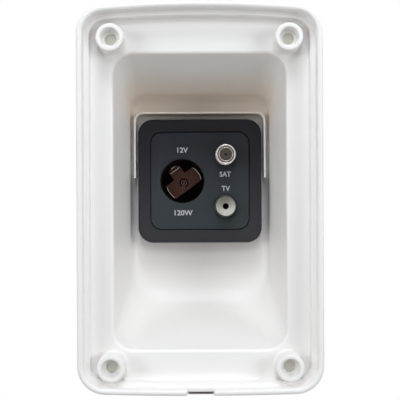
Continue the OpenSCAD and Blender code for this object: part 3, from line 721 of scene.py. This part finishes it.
def contact_edges():
    """The front edges of the centre contact's fingers, deep in the 12 V outlet, in a metal far
    brighter than the copper: a painted highlight.
    """
    beads = []
    for middle in (CONTACT_TURN, CONTACT_TURN + 180):
        arc = corner((0, 0), FINGER_R, middle - FINGER_SPREAD, middle + FINGER_SPREAD, 16)
        beads.append((arc, FINGER_Y, 0.38))
    cross = math.radians(CONTACT_TURN)
    for away, depth, thick in ((9.9, FINGER_Y, 0.40), (8.2, 76.3, 0.36)):
        line = [(-away * math.sin(cross) + t * math.cos(cross),
                 away * math.cos(cross) + t * math.sin(cross)) for t in (-3.0, -1.5, 0, 1.5, 3.0)]
        beads.append((line, depth, thick))
    points, faces, around = [], [], 8
    for path, depth, thick in beads:
        first = len(points)
        section = [(thick * math.cos(math.tau * i / around),
                    depth + thick * math.sin(math.tau * i / around)) for i in range(around)]
        placed = [(POWER_X + x, MODULE_Z + z) for x, z in path]
        points += [p for ring in sweep(placed, section) for p in ring]
        for k in range(len(path) - 1):
            for i in range(around):
                a, b, j = first + k * around, first + (k + 1) * around, (i + 1) % around
                faces.append((a + i, a + j, b + j, b + i))
        for cap in (first, first + (len(path) - 1) * around):
            faces.append(tuple(cap + i for i in range(around)))
    return mesh_object("contact_edges", points, faces, EDGE_HIGHLIGHT, 60)


def rivet():
    """The rivet that holds the centre contact: a ringed head in front, a plain one behind."""
    ring = RIVET_Y + 0.4
    profile = [(AXIS_R, RIVET_Y), (0.45, RIVET_Y), (0.7, ring), (0.85, ring), (1.1, RIVET_Y),
               (1.5, RIVET_Y), (1.75, 76.1), (2.0, 76.1), (2.2, 75.9), (2.5, 75.95),
               (RIVET_R, 76.1), (RIVET_R, 76.49), (RIVET_SHANK, 76.5), (RIVET_SHANK, TAIL_Y),
               (RIVET_R, TAIL_Y), (RIVET_R, TAIL_Y + 0.4), (2.2, TAIL_END), (AXIS_R, TAIL_END)]
    piece = lathe("rivet_visual", profile, POWER_X, MODULE_Z, RIVET, 48, closed=False, angle=40)
    # Painted shade: the head's two grooves get near black
    for r_from, r_to in ((0.5, 1.05), (1.55, 2.05)):
        darken(piece, RIVET_SHADE, POWER_X, MODULE_Z, 75, 76.3, r_from, r_to)
    return piece


def mark(text, x, z, width):
    """A printed mark: plain letters, a hair proud of the insert's face."""
    curve = bpy.data.curves.new("mark_" + text, "FONT")
    curve.body = text
    curve.align_x = "CENTER"
    curve.size = MARK_CAP * MM / CAP_SHARE
    curve.offset = MARK_BOLD * MM
    curve.extrude = MARK_PROUD * MM
    curve.materials.append(MARK_GREY)
    piece = bpy.data.objects.new("mark_" + text, curve)
    bpy.context.scene.collection.objects.link(piece)
    piece.rotation_euler = (math.pi / 2, 0, 0)
    piece.location = (x * MM, (INSERT_Y - MARK_PROUD) * MM, (z - MARK_CAP / 2) * MM)
    bpy.context.view_layer.update()
    piece.scale.x = width * MM / piece.dimensions.x
    return piece


# Pieces

dress(housing_piece(), "white_plastic", "housing")
dress(frame_piece(), "frame_plastic", "bezel_frame")
dress(insert_piece(), "insert_plastic", "insert_plate")
dress(hole_shade_discs(), "white_plastic")
dress(contact_edges(), "copper_strip")
dress(rivet(), "rivet_metal", "contact_rivet")
dress(sat_connector(), "nickel", "sat_body")
dress(tv_connector(), "nickel_cup", "tv_body")
for words, mark_x, mark_z, mark_w in MARKS:
    dress(mark(words, mark_x, mark_z, mark_w), "insert_plastic")

# Nodes that keep their CAD and get a finish
CAD_FINISH = {
    "wall_seal": SEAL_BLACK, "support_plate": SUPPORT_GREY, "support_screws": SCREW_STEEL,
    "power_barrel": BARREL_BLACK, "barrel_ring": BARREL_BLACK, "centre_contact": COPPER,
    "positive_tab": BRASS, "ground_contact": BRASS,
    # The aerial contacts' near black is painted shade
    "sat_insulator": SAT_CORE, "sat_contact": CONTACT_SHADE_BLACK, "tv_insulator": TV_CORE,
    "tv_contact": CONTACT_SHADE_BLACK, "connector_strap": ZINC, "strap_screws": SCREW_STEEL,
}
for node, finish in CAD_FINISH.items():
    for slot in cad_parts[node].material_slots:
        slot.material = finish


# Floor, world, lamps and camera

def lamp(name, place, target, size, power):
    """A round lamp of a size in metres and a power in watts, turned to a target."""
    light = bpy.data.lights.new(name, "AREA")
    light.shape = "DISK"
    light.size = size
    light.energy = power
    light.color = (0.91, 0.955, 1.0)
    piece = bpy.data.objects.new(name, light)
    piece.location = place
    aim = Vector(target) - Vector(place)
    piece.rotation_euler = aim.to_track_quat("-Z", "Y").to_euler()
    bpy.context.scene.collection.objects.link(piece)


def most_of(tree, first, *others):
    """The largest of several values, such as the kinds of ray."""
    result = first
    for other in others:
        either = tree.nodes.new("ShaderNodeMath")
        either.operation = "MAXIMUM"
        tree.links.new(result, either.inputs[0])
        tree.links.new(other, either.inputs[1])
        result = either.outputs[0]
    return result


def switch(tree, factor, plain, bright, target):
    """Sends the bright shader where the factor is 1 and the plain one elsewhere."""
    mix = tree.nodes.new("ShaderNodeMixShader")
    tree.links.new(factor, mix.inputs[0])
    tree.links.new(plain, mix.inputs[1])
    tree.links.new(bright, mix.inputs[2])
    tree.links.new(mix.outputs[0], target)


def pale_world(fill):
    """White behind the object and in its reflections, and a moderate plain fill on it."""
    world = bpy.data.worlds.new("pale")
    bpy.context.scene.world = world
    world.use_nodes = True
    tree = world.node_tree
    rays = tree.nodes.new("ShaderNodeLightPath").outputs
    white = tree.nodes.new("ShaderNodeBackground")
    white.inputs["Color"].default_value = (1, 1, 1, 1)
    plain = tree.nodes["Background"]
    plain.inputs["Color"].default_value = (1, 1, 1, 1)
    plain.inputs["Strength"].default_value = fill
    seen = most_of(tree, rays["Is Camera Ray"], rays["Is Glossy Ray"], rays["Is Transmission Ray"])
    switch(tree, seen, plain.outputs[0], white.outputs[0],
           tree.nodes["World Output"].inputs["Surface"])


def plain_floor():
    """A plain pale floor well below the socket, which hangs on a wall in use."""
    half, level = STAGE_HALF, STAGE_LEVEL
    mesh = bpy.data.meshes.new("floor")
    mesh.from_pydata([(-half, -half, level), (half, -half, level), (half, half, level),
                      (-half, half, level)], [], [(0, 1, 2, 3)])
    floor = bpy.data.objects.new("floor", mesh)
    bpy.context.scene.collection.objects.link(floor)
    material, shader = principled("floor_pale", (0.80, 0.80, 0.80), 0.7, specular=0.1)
    tree = material.node_tree
    rays = tree.nodes.new("ShaderNodeLightPath").outputs
    white = tree.nodes.new("ShaderNodeEmission")
    seen = most_of(tree, rays["Is Camera Ray"], rays["Is Glossy Ray"])
    switch(tree, seen, shader.outputs[0], white.outputs[0],
           tree.nodes["Material Output"].inputs["Surface"])
    mesh.materials.append(material)


def camera_view():
    """The photograph's camera, close in front of the rim."""
    data = bpy.data.cameras.new("camera")
    data.sensor_width = SENSOR_W
    data.lens = LENS
    camera = bpy.data.objects.new("camera", data)
    camera.location = (0.0, CAMERA_Y, CAMERA_Z)
    camera.rotation_euler = (math.pi / 2, math.radians(CAMERA_ROLL), 0)
    bpy.context.scene.collection.objects.link(camera)
    bpy.context.scene.camera = camera


pale_world(0.25)
plain_floor()
lamp("high", (0.0, -0.42, 0.70), (0, 0, 0), 0.35, 2.9)
lamp("key", (0.0, -0.82, 0.475), (0, 0, 0), 0.2, 1.35)
lamp("left", (-0.8, -0.6, 0.15), (0, 0, 0), 0.5, 3.3)
lamp("right", (0.8, -0.6, 0.15), (0, 0, 0), 0.5, 3.8)
lamp("behind", (0.45, 0.9, 0.55), (0, 0.04, 0), 0.6, 7.0)
camera_view()
bpy.context.scene.view_settings.view_transform = "Standard"
